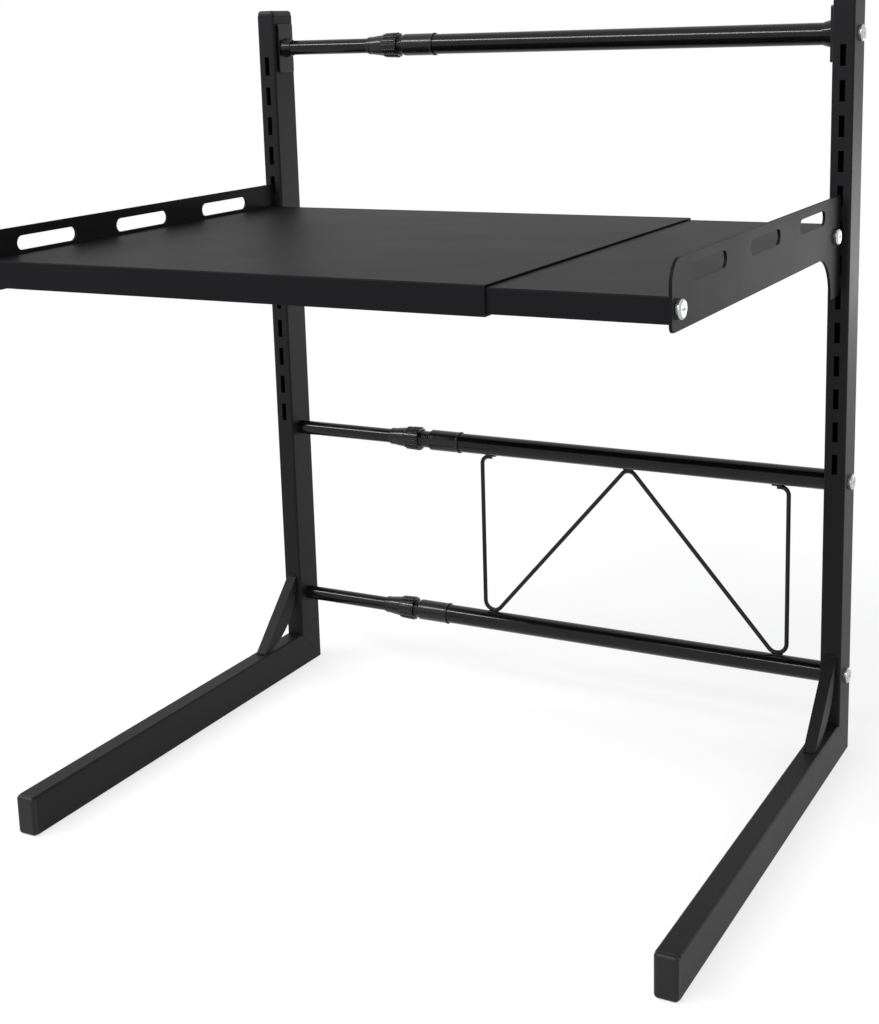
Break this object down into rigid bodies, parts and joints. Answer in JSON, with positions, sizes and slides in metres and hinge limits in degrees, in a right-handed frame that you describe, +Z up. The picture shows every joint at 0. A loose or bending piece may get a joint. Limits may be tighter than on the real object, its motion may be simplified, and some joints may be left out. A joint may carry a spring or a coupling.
{
  "type": "extendable microwave rack",
  "caption": "Width-adjustable black metal rack that stands over a microwave oven: slotted side frames joined by telescopic bars, with a nested sliding shelf hooked on at a set height.",
  "frame": {"origin": "on the floor under the middle of the rack, at rest width", "axes": "+X to the rack's right seen from the front, +Y to the back where the posts stand, +Z up"},
  "size_m": [0.5118, 0.39, 0.583],
  "materials": {
    "frame_powder_coat": "fine matt powder coat",
    "shelf_powder_coat": "satin powder coat",
    "bar_gloss_paint": "gloss paint",
    "cap_plastic": "satin moulded plastic",
    "nut_plastic": "gloss moulded plastic",
    "collet_plastic": "natural plastic",
    "zinc_steel": "bright zinc plate"
  },
  "bodies": {
    "left_frame": {"left_post": "frame_powder_coat", "left_foot": "frame_powder_coat", "left_post_cap": "cap_plastic", "left_foot_cap": "cap_plastic", "left_gusset": "frame_powder_coat", "left_bar_flange": "bar_gloss_paint", "left_bar_bolts": "zinc_steel", "left_bar_inserts": "zinc_steel", "upper_inner_tube": "bar_gloss_paint", "middle_inner_tube": "bar_gloss_paint", "lower_inner_tube": "bar_gloss_paint"},
    "right_frame": {"right_post": "frame_powder_coat", "right_foot": "frame_powder_coat", "right_post_cap": "cap_plastic", "right_foot_cap": "cap_plastic", "right_gusset": "frame_powder_coat", "right_bar_flange": "bar_gloss_paint", "right_bar_bolts": "zinc_steel", "right_bar_inserts": "zinc_steel", "upper_outer_tube": "bar_gloss_paint", "upper_collar": "nut_plastic", "upper_collet": "collet_plastic", "middle_outer_tube": "bar_gloss_paint", "middle_collar": "nut_plastic", "middle_collet": "collet_plastic", "lower_outer_tube": "bar_gloss_paint", "lower_collar": "nut_plastic", "lower_collet": "collet_plastic", "wire_brace": "bar_gloss_paint"},
    "upper_nut": {"upper_lock_nut": "nut_plastic"},
    "middle_nut": {"middle_lock_nut": "nut_plastic"},
    "lower_nut": {"lower_lock_nut": "nut_plastic"},
    "left_shelf": {"outer_tray": "shelf_powder_coat", "left_side_plate": "shelf_powder_coat", "left_shelf_bolts": "zinc_steel", "left_shelf_nuts": "zinc_steel"},
    "right_shelf": {"inner_tray": "shelf_powder_coat", "right_side_plate": "shelf_powder_coat", "right_shelf_bolts": "zinc_steel", "right_shelf_nuts": "zinc_steel"}
  },
  "joints": [
    {"name": "width_slide", "type": "slide", "parent": "left_frame", "child": "right_frame", "axis": [1, 0, 0], "range_m": [-0.074, 0.115]},
    {"name": "upper_nut_turn", "type": "hinge", "parent": "right_frame", "child": "upper_nut", "pos_m": [-0.1525, 0.18, 0.552], "axis": [-1, 0, 0], "range_deg": [0, 180]},
    {"name": "middle_nut_turn", "type": "hinge", "parent": "right_frame", "child": "middle_nut", "pos_m": [-0.144, 0.18, 0.221], "axis": [-1, 0, 0], "range_deg": [0, 180]},
    {"name": "lower_nut_turn", "type": "hinge", "parent": "right_frame", "child": "lower_nut", "pos_m": [-0.1545, 0.18, 0.0665], "axis": [-1, 0, 0], "range_deg": [0, 180]},
    {"name": "left_shelf_lift", "type": "slide", "parent": "left_frame", "child": "left_shelf", "axis": [0, 0, 1], "range_m": [0, 0.0055]},
    {"name": "right_shelf_lift", "type": "slide", "parent": "right_frame", "child": "right_shelf", "axis": [0, 0, 1], "range_m": [0, 0.0055]}
  ],
  "couplings": [
    {"joint": "right_shelf_lift", "follows": "left_shelf_lift", "ratio": 1}
  ]
}
